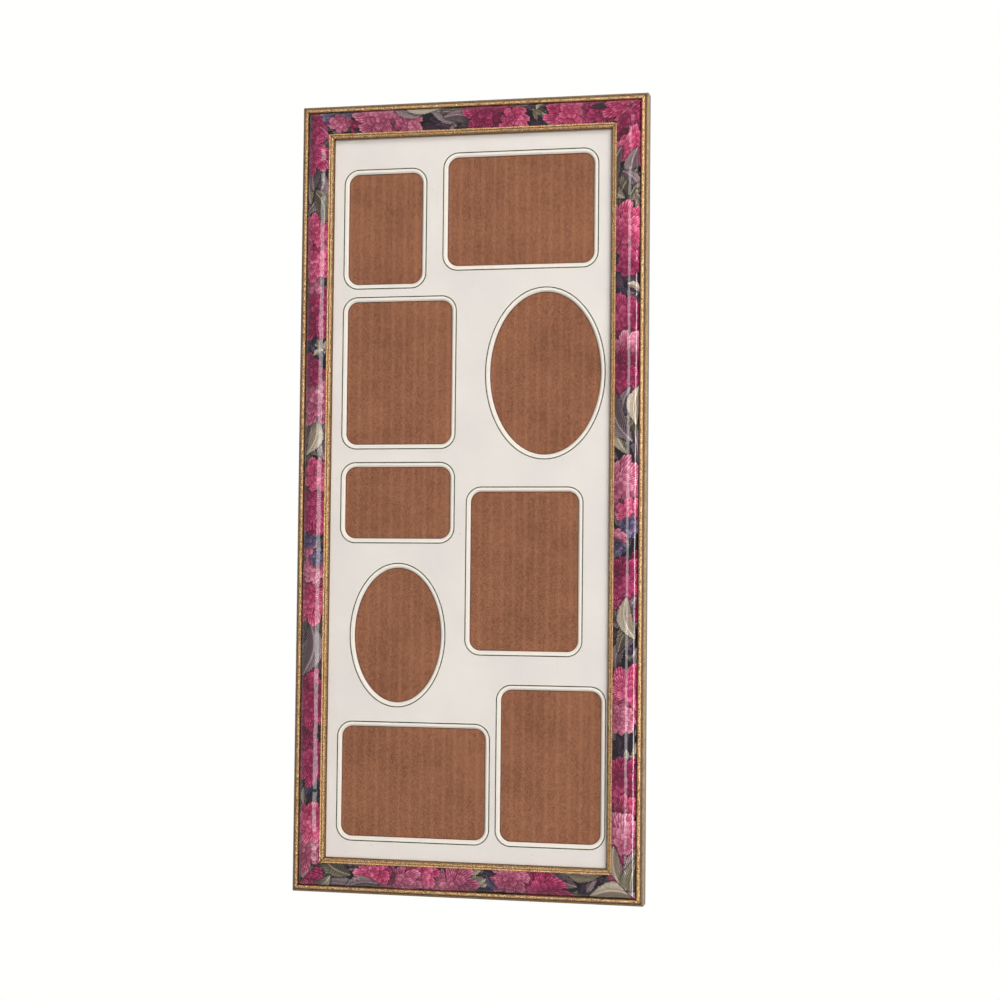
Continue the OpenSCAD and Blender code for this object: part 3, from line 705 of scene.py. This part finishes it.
def glass_finish():
    """Clear sheet: all light passes but for a faint mirror on its faces, seen from outside, that
    grows towards the edge-on view."""
    finish = bpy.data.materials.new("clear_sheet")
    finish.use_nodes = True
    nodes, links = finish.node_tree.nodes, finish.node_tree.links
    nodes.remove(nodes["Principled BSDF"])
    clear = nodes.new("ShaderNodeBsdfTransparent")
    clear.inputs["Color"].default_value = (0.985, 0.992, 0.988, 1)
    mirror = nodes.new("ShaderNodeBsdfGlossy")
    mirror.inputs["Roughness"].default_value = 0.02
    share = nodes.new("ShaderNodeFresnel")
    share.inputs["IOR"].default_value = 1.26
    side = nodes.new("ShaderNodeNewGeometry")
    outside = maths(nodes, links, "SUBTRACT", 1.0, side.outputs["Backfacing"])
    both = nodes.new("ShaderNodeMixShader")
    links.new(maths(nodes, links, "MULTIPLY", share.outputs["Fac"], outside), both.inputs["Fac"])
    links.new(clear.outputs["BSDF"], both.inputs[1])
    links.new(mirror.outputs["BSDF"], both.inputs[2])
    links.new(both.outputs["Shader"], nodes["Material Output"].inputs["Surface"])
    return finish


dress("glass_pane", glass_finish())

# The mat: four-ply board faced with off-white paper, with nine openings cut at a slant that
# bares its white core. Round each opening a thin metallic line is pressed in, and the paper
# between the line and the opening is burnished by the same die.
LINE_GAP = 3.5
WINDOW_R = 7
# Millimetres that set where the painted contact shadow starts on the cuts.
SHADOW_LINE_BEFORE_WALL = 11.1
LEFT_COLUMN = [
    ("rounded", 52, 76.5, 10.1), ("rounded", 74, 98.5, 10.1), ("rounded", 74, 48.5, 10.1),
    ("oval", 60.5, 91.5, 18.1), ("rounded", 100.5, 74.5, 10.1)]
LEFT_GAPS = [24.6, 13, 16.5, 21, 17.5, 15.1]
RIGHT_COLUMN = [
    ("rounded", 101.5, 74.5, 12.6), ("oval", 76, 110.5, 7.1), ("rounded", 74, 107.5, 21.6),
    ("rounded", 68, 101.5, 5.1)]
RIGHT_GAPS = [15.1, 20, 26, 27, 15.1]


def placed_column(sizes, gaps, side):
    """Windows down a column as (shape, width, height, middle x, middle z), in millimetres from
    the frame's middle. The height left over is shared among the gaps in the given shares."""
    tall = SIGHT_HALF_H * 2 / MM
    unit = (tall - sum(size[2] for size in sizes)) / sum(gaps)
    top = tall / 2
    placed = []
    for (shape, width, height, margin), gap in zip(sizes, gaps):
        top -= gap * unit
        middle_x = side * (SIGHT_HALF_W / MM - margin - width / 2)
        placed.append((shape, width, height, middle_x, top - height / 2))
        top -= height
    return placed


windows = placed_column(LEFT_COLUMN, LEFT_GAPS, -1) + placed_column(RIGHT_COLUMN, RIGHT_GAPS, 1)


def distance_to_window(nodes, links, x, z, window):
    """Millimetres from a place on the mat to a window's edge, less than 0 inside it.
    Rounded: |max(|p| - half + r, 0)| - r. Oval: (|p / half| - 1) times the mean half width."""
    shape, width, height, middle_x, middle_z = window
    from_x = maths(nodes, links, "ABSOLUTE", maths(nodes, links, "SUBTRACT", x, middle_x))
    from_z = maths(nodes, links, "ABSOLUTE", maths(nodes, links, "SUBTRACT", z, middle_z))
    if shape == "oval":
        part_x = maths(nodes, links, "DIVIDE", from_x, width / 2)
        part_z = maths(nodes, links, "DIVIDE", from_z, height / 2)
        scale, less = (width + height) / 4, (width + height) / 4
    else:
        past_x = maths(nodes, links, "SUBTRACT", from_x, width / 2 - WINDOW_R)
        past_z = maths(nodes, links, "SUBTRACT", from_z, height / 2 - WINDOW_R)
        part_x = maths(nodes, links, "MAXIMUM", past_x, 0.0)
        part_z = maths(nodes, links, "MAXIMUM", past_z, 0.0)
        scale, less = 1.0, WINDOW_R
    squares = maths(nodes, links, "ADD", maths(nodes, links, "MULTIPLY", part_x, part_x),
                    maths(nodes, links, "MULTIPLY", part_z, part_z))
    length = maths(nodes, links, "MULTIPLY", maths(nodes, links, "SQRT", squares), scale)
    return maths(nodes, links, "SUBTRACT", length, less)


def mat_finish():
    """Off-white facing paper with a faint tooth and a few specks, burnished paler inside the
    pressed lines, and the white core on the slanted cuts, with a painted contact shadow in dark
    brown at their far edge, where they meet the board."""
    finish, nodes, links, shader = new_finish("mat_paper")
    axes = object_axes(nodes, links)
    from_middle = maths(nodes, links, "SUBTRACT", axes[2], MIDDLE_Z)
    x = maths(nodes, links, "MULTIPLY", axes[0], 1 / MM)
    z = maths(nodes, links, "MULTIPLY", from_middle, 1 / MM)
    nearest = None
    for window in windows:
        distance = distance_to_window(nodes, links, x, z, window)
        nearest = distance if nearest is None else maths(nodes, links, "MINIMUM", nearest, distance)
    vector = where(nodes, links)
    tooth = noise(nodes, links, vector, 1400, 3, 0.6)
    cloud = noise(nodes, links, vector, 22, 3, 0.5)
    paper = ramp(nodes, links, cloud, [(0.3, screen(229, 219, 215)), (0.7, screen(236, 227, 220))])
    specks = noise(nodes, links, vector, 420, 1, 0.4)
    speck = ramp(nodes, links, specks, [(0.20, grey(0.78)), (0.26, grey(1.0))])
    paper = mixed(nodes, links, 1.0, paper, speck, "MULTIPLY")
    burnished = ramp(nodes, links, maths(nodes, links, "DIVIDE", nearest, LINE_GAP * 2), [
        (0.48, grey(1.0)), (0.50, grey(0.0))])
    paper = mixed(nodes, links, burnished, paper, screen(242, 234, 222))
    facing = nodes.new("ShaderNodeNewGeometry")
    aspect = nodes.new("ShaderNodeSeparateXYZ")
    links.new(facing.outputs["True Normal"], aspect.inputs[0])
    slant = maths(nodes, links, "LESS_THAN", maths(nodes, links, "ABSOLUTE", aspect.outputs[1]), 0.95)
    colour = mixed(nodes, links, slant, paper, screen(246, 234, 228))
    # Painted shadow: the cut's last part before the board turns dark brown, as a contact shadow.
    depth = maths(nodes, links, "MULTIPLY", axes[1], 1 / MM)
    painted_foot_shadow = ramp(nodes, links, maths(nodes, links, "ADD", depth, SHADOW_LINE_BEFORE_WALL), [
        (0.42, grey(0.0)), (0.60, grey(1.0))])
    colour = mixed(nodes, links, painted_foot_shadow, colour, screen(84, 52, 38))
    links.new(colour, shader.inputs["Base Color"])
    settle(shader, Roughness=0.82, Specular_IOR_Level=0.25)
    links.new(relief(nodes, links, tooth, 0.00003), shader.inputs["Normal"])
    return finish


dress("mat_board", mat_finish())

# The pressed lines: hot-stamped metallic foil, sunk a little into the facing paper round each
# opening.


def foil_finish():
    """Champagne foil, dull olive where it mirrors nothing bright, with worn specks."""
    finish, nodes, links, shader = new_finish("pressed_foil")
    vector = where(nodes, links)
    patch = noise(nodes, links, vector, 500, 3, 0.6)
    colour = ramp(nodes, links, patch, [(0.35, screen(60, 54, 44)), (0.7, screen(122, 116, 90))])
    links.new(colour, shader.inputs["Base Color"])
    settle(shader, Metallic=0.9, Roughness=0.24)
    links.new(relief(nodes, links, patch, 0.00003), shader.inputs["Normal"])
    return finish


dress("foil_lines", foil_finish())

# The corrugated board: brown kraft paper on both sides of a fluted sheet, glued at the crests.
# Its front paper lies against the mat and shows in every opening, drawn in a little between
# the flutes, as such paper is when the glue dries.
BOARD_FRONT_Y = -10.1 * MM
LINER_T = 0.35 * MM
BOARD_HALF_W = 101.5 * MM
BOARD_HALF_H = 252.5 * MM
FLUTE_PITCH = 7.9 * MM
WASHBOARD = 0.04 * MM


def washboard_sheet():
    """A sheet on a grid: the front lies back by h(1 - cos(2 pi x / pitch)) / 2 between the
    flutes, and the back is flat. The two sides are joined round the rim."""
    x = np.linspace(-BOARD_HALF_W, BOARD_HALF_W, 241)
    z = np.linspace(-BOARD_HALF_H, BOARD_HALF_H, 61)
    grid_x, grid_z = np.meshgrid(x, z, indexing="ij")
    wave = WASHBOARD * (0.5 - 0.5 * np.cos(2 * math.pi * grid_x / FLUTE_PITCH))
    front = np.stack([grid_x, BOARD_FRONT_Y + wave, MIDDLE_Z + grid_z], -1)
    back = np.stack([grid_x, BOARD_FRONT_Y + LINER_T + 0 * wave, MIDDLE_Z + grid_z], -1)
    nx, nz = grid_x.shape
    number = np.arange(nx * nz).reshape(nx, nz)
    quads = np.stack([number[:-1, :-1], number[1:, :-1], number[1:, 1:], number[:-1, 1:]], -1)
    quads = quads.reshape(-1, 4)
    rim = np.concatenate([number[:-1, 0], number[-1, :-1], number[:0:-1, -1], number[0, :0:-1]])
    next_rim = np.roll(rim, -1)
    walls = np.stack([rim, rim + nx * nz, next_rim + nx * nz, next_rim], -1)
    faces = np.concatenate([quads, quads[:, ::-1] + nx * nz, walls])
    points = np.concatenate([front.reshape(-1, 3), back.reshape(-1, 3)])
    mesh = bpy.data.meshes.new("board_front_paper")
    mesh.from_pydata(points.tolist(), [], faces.tolist())
    mesh.update()
    return mesh


def kraft_finish(name, dark, light):
    """Brown kraft paper: matted fibres, cloudy shade, and faint stripes a flute apart."""
    finish, nodes, links, shader = new_finish(name)
    across = object_axes(nodes, links)[0]
    turns = maths(nodes, links, "MULTIPLY", across, 2 * math.pi / FLUTE_PITCH)
    once = maths(nodes, links, "COSINE", turns)
    twice = maths(nodes, links, "COSINE", maths(nodes, links, "MULTIPLY", turns, 2.0))
    stripe = weighted(nodes, links, (once, 0.5), (twice, 0.35))
    fibre = noise(nodes, links, where(nodes, links), 640, 4, 0.7)
    fine = noise(nodes, links, where(nodes, links), 1300, 2, 0.6)
    cloud = noise(nodes, links, where(nodes, links), 40, 3, 0.5)
    amount = weighted(nodes, links, (fibre, 0.38), (cloud, 0.16), (fine, 0.46), (stripe, 0.04))
    colour = ramp(nodes, links, amount, [(0.34, dark), (0.66, light)])
    links.new(colour, shader.inputs["Base Color"])
    settle(shader, Roughness=0.8, Specular_IOR_Level=0.25)
    links.new(relief(nodes, links, fibre, 0.00004), shader.inputs["Normal"])
    return finish


kraft = kraft_finish("kraft_paper", screen(98, 52, 30), screen(175, 114, 81))
front_paper = piece("board_front_paper", washboard_sheet(), [kraft], "frame")
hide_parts("backing_front_liner")
dress("backing_fluting", kraft)
dress("backing_rear_liner", kraft)

# The back panel: 3 mm hardboard, pressed brown fibre with a smooth face and a screened back,
# that closes the back behind the corrugated board.
SCREEN_PITCH = 1.6 * MM


def hardboard_finish():
    """Pressed brown fibre with the print of the press's wire screen."""
    finish, nodes, links, shader = new_finish("hardboard")
    vector = where(nodes, links)
    fibre = noise(nodes, links, vector, 520, 4, 0.65)
    cloud = noise(nodes, links, vector, 18, 3, 0.5)
    colour = ramp(nodes, links, weighted(nodes, links, (fibre, 0.6), (cloud, 0.4)), [
        (0.3, screen(92, 62, 42)), (0.5, screen(124, 88, 60)), (0.7, screen(150, 112, 80))])
    links.new(colour, shader.inputs["Base Color"])
    axes = object_axes(nodes, links)
    wire = 2 * math.pi / SCREEN_PITCH
    warp = maths(nodes, links, "SINE", maths(nodes, links, "MULTIPLY", axes[0], wire))
    weft = maths(nodes, links, "SINE", maths(nodes, links, "MULTIPLY", axes[2], wire))
    screen_print = maths(nodes, links, "MULTIPLY", warp, weft)
    height = maths(nodes, links, "ADD", maths(nodes, links, "MULTIPLY", screen_print, 0.5), fibre)
    settle(shader, Roughness=0.66)
    links.new(relief(nodes, links, height, 0.00012), shader.inputs["Normal"])
    return finish


dress("back_panel", hardboard_finish())

# The turn buttons: flat plates stamped from zinc-plated steel, their edges rolled over by the
# tumbling that follows. Each turns on its own screw and holds the panel in the rebate.


def eased(node, name, finish, width, body):
    """The node's own shape with its loose triangles joined, flats made whole and edges rounded."""
    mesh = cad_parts[node].data.copy()
    mesh.name = name
    shape = bmesh.new()
    shape.from_mesh(mesh)
    bmesh.ops.remove_doubles(shape, verts=shape.verts, dist=0.002 * MM)
    bmesh.ops.dissolve_limit(shape, angle_limit=math.radians(1), verts=shape.verts,
                             edges=shape.edges)
    bmesh.ops.recalc_face_normals(shape, faces=shape.faces)
    shape.to_mesh(mesh)
    shape.free()
    mesh.materials.clear()
    thing = piece(name, mesh, [finish], body, 30)
    rounding = thing.modifiers.new("rounded_edges", "BEVEL")
    rounding.width = width
    rounding.segments = 3
    rounding.limit_method = "ANGLE"
    rounding.angle_limit = math.radians(38)
    rounding.harden_normals = False
    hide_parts(node)


for side in ("left", "right"):
    for row in range(1, 5):
        place = "%s_%d" % (side, row)
        eased("turn_button_" + place, "pressed_plate_" + place, zinc, 0.28 * MM,
              "button_" + place)

# The buttons' screws: zinc-plated, round-headed, with a cross recess and a rolled thread that
# holds in the moulding's wood.
BUTTON_X = 108.5 * MM
BUTTON_SPAN = 385 * MM
BUTTON_ROWS = 4
SCREW_SEAT = BACK_Y + 1.2 * MM
SCREW_HEAD_R = 2.9 * MM
SCREW_HEAD_H = 1.5 * MM
SCREW_R = 1.5 * MM
SCREW_LEN = 10 * MM
THREAD_PITCH = 1.25 * MM
THREAD_DEPTH = 0.32 * MM
RECESS_HALF_W = 0.42 * MM
RECESS_REACH = 1.75 * MM
RECESS_DEPTH = 0.8 * MM
SCREW_TURNS = 48


def screw_surface(middle_x, middle_z):
    """A screw as rings of points. The head's height is H (1 - (r/R)^2.6)^(1/2.6), less a cross
    recess whose arms taper off towards their ends. The shank's radius falls by the thread's
    depth midway between the crests of a helix, and to a point over the last part."""
    share = np.concatenate([np.linspace(0.02, 0.9, 26), [0.94, 0.97, 0.99, 1.0]])
    head = np.stack([share, (1 - share ** 2.6) ** (1 / 2.6)], 1) * (SCREW_HEAD_R, SCREW_HEAD_H)
    down = np.linspace(0, 1, 72)
    drop = np.minimum(1, (1 - down) * 3.5 + 0.12)
    shank = np.stack([SCREW_R * drop, -SCREW_LEN * down], 1)
    rings = np.concatenate([head, shank])
    turn = np.linspace(0, 2 * math.pi, SCREW_TURNS, endpoint=False)
    radius = rings[:, :1] + 0 * turn
    height = rings[:, 1:] + 0 * turn
    on_shank = (np.arange(len(rings)) >= len(head) + 2)[:, None]
    helix = 0.5 + 0.5 * np.cos(2 * math.pi * height / THREAD_PITCH - turn)
    radius = radius - on_shank * THREAD_DEPTH * (1 - helix) * np.minimum(1, radius / SCREW_R)
    x, z = radius * np.cos(turn), radius * np.sin(turn)
    arm = np.clip((RECESS_HALF_W - np.minimum(np.abs(x), np.abs(z))) / (0.16 * MM), 0, 1)
    end = np.clip((RECESS_REACH - np.maximum(np.abs(x), np.abs(z))) / (0.9 * MM), 0, 1)
    on_head = (np.arange(len(rings)) < len(head))[:, None]
    height = height - on_head * RECESS_DEPTH * arm * end
    places = np.stack([middle_x + x, SCREW_SEAT + height, middle_z + z], -1)
    top = [middle_x, SCREW_SEAT + SCREW_HEAD_H - RECESS_DEPTH, middle_z]
    point = [middle_x, SCREW_SEAT - SCREW_LEN, middle_z]
    return np.concatenate([places.reshape(-1, 3), [top, point]]), len(rings)


def screw_faces(rings, first):
    """Quads between the rings, and fans to the middle of the head and to the point."""
    number = np.arange(rings * SCREW_TURNS).reshape(rings, SCREW_TURNS) + first
    a, b = number[:-1], number[1:]
    quads = np.stack([a, b, np.roll(b, -1, 1), np.roll(a, -1, 1)], -1).reshape(-1, 4)
    top = first + rings * SCREW_TURNS
    upper = [(top, i, j) for i, j in zip(number[0], np.roll(number[0], -1))]
    lower = [(top + 1, j, i) for i, j in zip(number[-1], np.roll(number[-1], -1))]
    return quads.tolist() + upper + lower


screw_points, screw_sides = [], []
for side in (-1, 1):
    for row in range(BUTTON_ROWS):
        middle_z = MIDDLE_Z + BUTTON_SPAN / 2 - row * BUTTON_SPAN / (BUTTON_ROWS - 1)
        places, rings = screw_surface(side * BUTTON_X, middle_z)
        screw_sides += screw_faces(rings, sum(len(made) for made in screw_points))
        screw_points.append(places)
screw_mesh = bpy.data.meshes.new("round_head_screws")
screw_mesh.from_pydata(np.concatenate(screw_points).tolist(), [], screw_sides)
screw_mesh.update()
screws = piece("round_head_screws", screw_mesh, [zinc], "frame", 34)
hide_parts("turn_button_screws")

# The hanger: a brassed steel strip with a row of teeth, bowed clear of the top rail and nailed
# at both ends.
brassed = zinc_finish("brassed_steel", screen(186, 154, 98), screen(158, 126, 78), 0.44)
eased("sawtooth_hanger", "hanger_strip", brassed, 0.14 * MM, "frame")
nail_brass = zinc_finish("brassed_nails", screen(164, 134, 84), screen(132, 104, 62), 0.42)
eased("hanger_nails", "hanger_nail_pair", nail_brass, 0.22 * MM, "frame")

# The studio: a pale floor well below the hanging frame, a lamp in front, a large soft one high
# to the right, a strip level with the wall further round, one behind, and a white surround.
FLOOR_Z = -1.5
FLOOR_HALF = 3.2


def seen_directly(nodes, links):
    """1 for rays from the camera, from mirrors and through glass, 0 for the rays that light."""
    rays = nodes.new("ShaderNodeLightPath")
    either = maths(nodes, links, "MAXIMUM", rays.outputs["Is Camera Ray"],
                   rays.outputs["Is Glossy Ray"])
    return maths(nodes, links, "MAXIMUM", either, rays.outputs["Is Transmission Ray"])


def floor_finish():
    """A pale matt floor, lifted to near white where it is seen, so that only shadows show."""
    finish, nodes, links, shader = new_finish("studio_floor")
    settle(
        shader,
        Base_Color=(0.3, 0.3, 0.296, 1),
        Roughness=0.95,
        Specular_IOR_Level=0.0,
        Emission_Color=(1, 1, 0.99, 1))
    lift = maths(nodes, links, "MULTIPLY", seen_directly(nodes, links), 0.74)
    links.new(lift, shader.inputs["Emission Strength"])
    return finish


floor_mesh = bpy.data.meshes.new("studio_floor")
floor_signs = ((-1, -1), (1, -1), (1, 1), (-1, 1))
floor_corners = [(x * FLOOR_HALF, y * FLOOR_HALF, FLOOR_Z) for x, y in floor_signs]
floor_mesh.from_pydata(floor_corners, [], [(0, 1, 2, 3)])
floor_mesh.materials.append(floor_finish())
put_in_scene("studio_floor", floor_mesh)

world = bpy.data.worlds.new("white_surround")
bpy.context.scene.world = world
world.use_nodes = True
w_nodes, w_links = world.node_tree.nodes, world.node_tree.links
backdrop = w_nodes["Background"]
backdrop.inputs["Color"].default_value = (1, 1, 0.99, 1)
strength = w_nodes.new("ShaderNodeMapRange")
strength.inputs["To Min"].default_value = 0.17
strength.inputs["To Max"].default_value = 1.0
w_links.new(seen_directly(w_nodes, w_links), strength.inputs["Value"])
w_links.new(strength.outputs["Result"], backdrop.inputs["Strength"])


def softbox(name, azimuth, elevation, distance, width, height, watts):
    """An area lamp that faces the frame's middle from that bearing: azimuth to the right."""
    lamp = bpy.data.lights.new(name, "AREA")
    lamp.shape = "RECTANGLE"
    lamp.size, lamp.size_y = width, height
    lamp.energy = watts
    thing = put_in_scene(name, lamp)
    a, e = math.radians(azimuth), math.radians(elevation)
    towards = np.array([math.sin(a) * math.cos(e), -math.cos(a) * math.cos(e), math.sin(e)])
    thing.location = (towards * distance + np.array([0, 0, MIDDLE_Z])).tolist()
    thing.rotation_mode = "QUATERNION"
    thing.rotation_quaternion = Vector(towards.tolist()).to_track_quat("Z", "Y")


softbox("front_lamp", 18, 2, 2.9, 1.2, 1.5, 49)
softbox("high_soft_lamp", 40, 32, 3.2, 1.4, 1.4, 48)
softbox("side_strip_lamp", 92, -4, 2.0, 0.3, 1.2, 26)
softbox("back_soft_lamp", 205, 22, 3.4, 3.0, 3.0, 78)

# The camera: where the photographed edges of the frame put it, to the right of the frame's
# middle and a little below it, through a lens of 69 mm on a 36 mm wide sensor.
camera_data = bpy.data.cameras.new("camera")
camera_data.sensor_width = 36
camera_data.lens = 69.3
camera = put_in_scene("camera", camera_data)
bpy.context.scene.camera = camera
camera.location = (0.3046, -1.2912, -0.3215)
look = Vector((-0.21538, 0.97555, 0.04379)).normalized()
up = Vector((-0.000444, -0.04494, 0.99899))
right = look.cross(up).normalized()
up = right.cross(look)
camera.rotation_mode = "QUATERNION"
camera.rotation_quaternion = Matrix((
    (right.x, up.x, -look.x), (right.y, up.y, -look.y), (right.z, up.z, -look.z))).to_quaternion()

bpy.context.scene.view_settings.view_transform = "Standard"
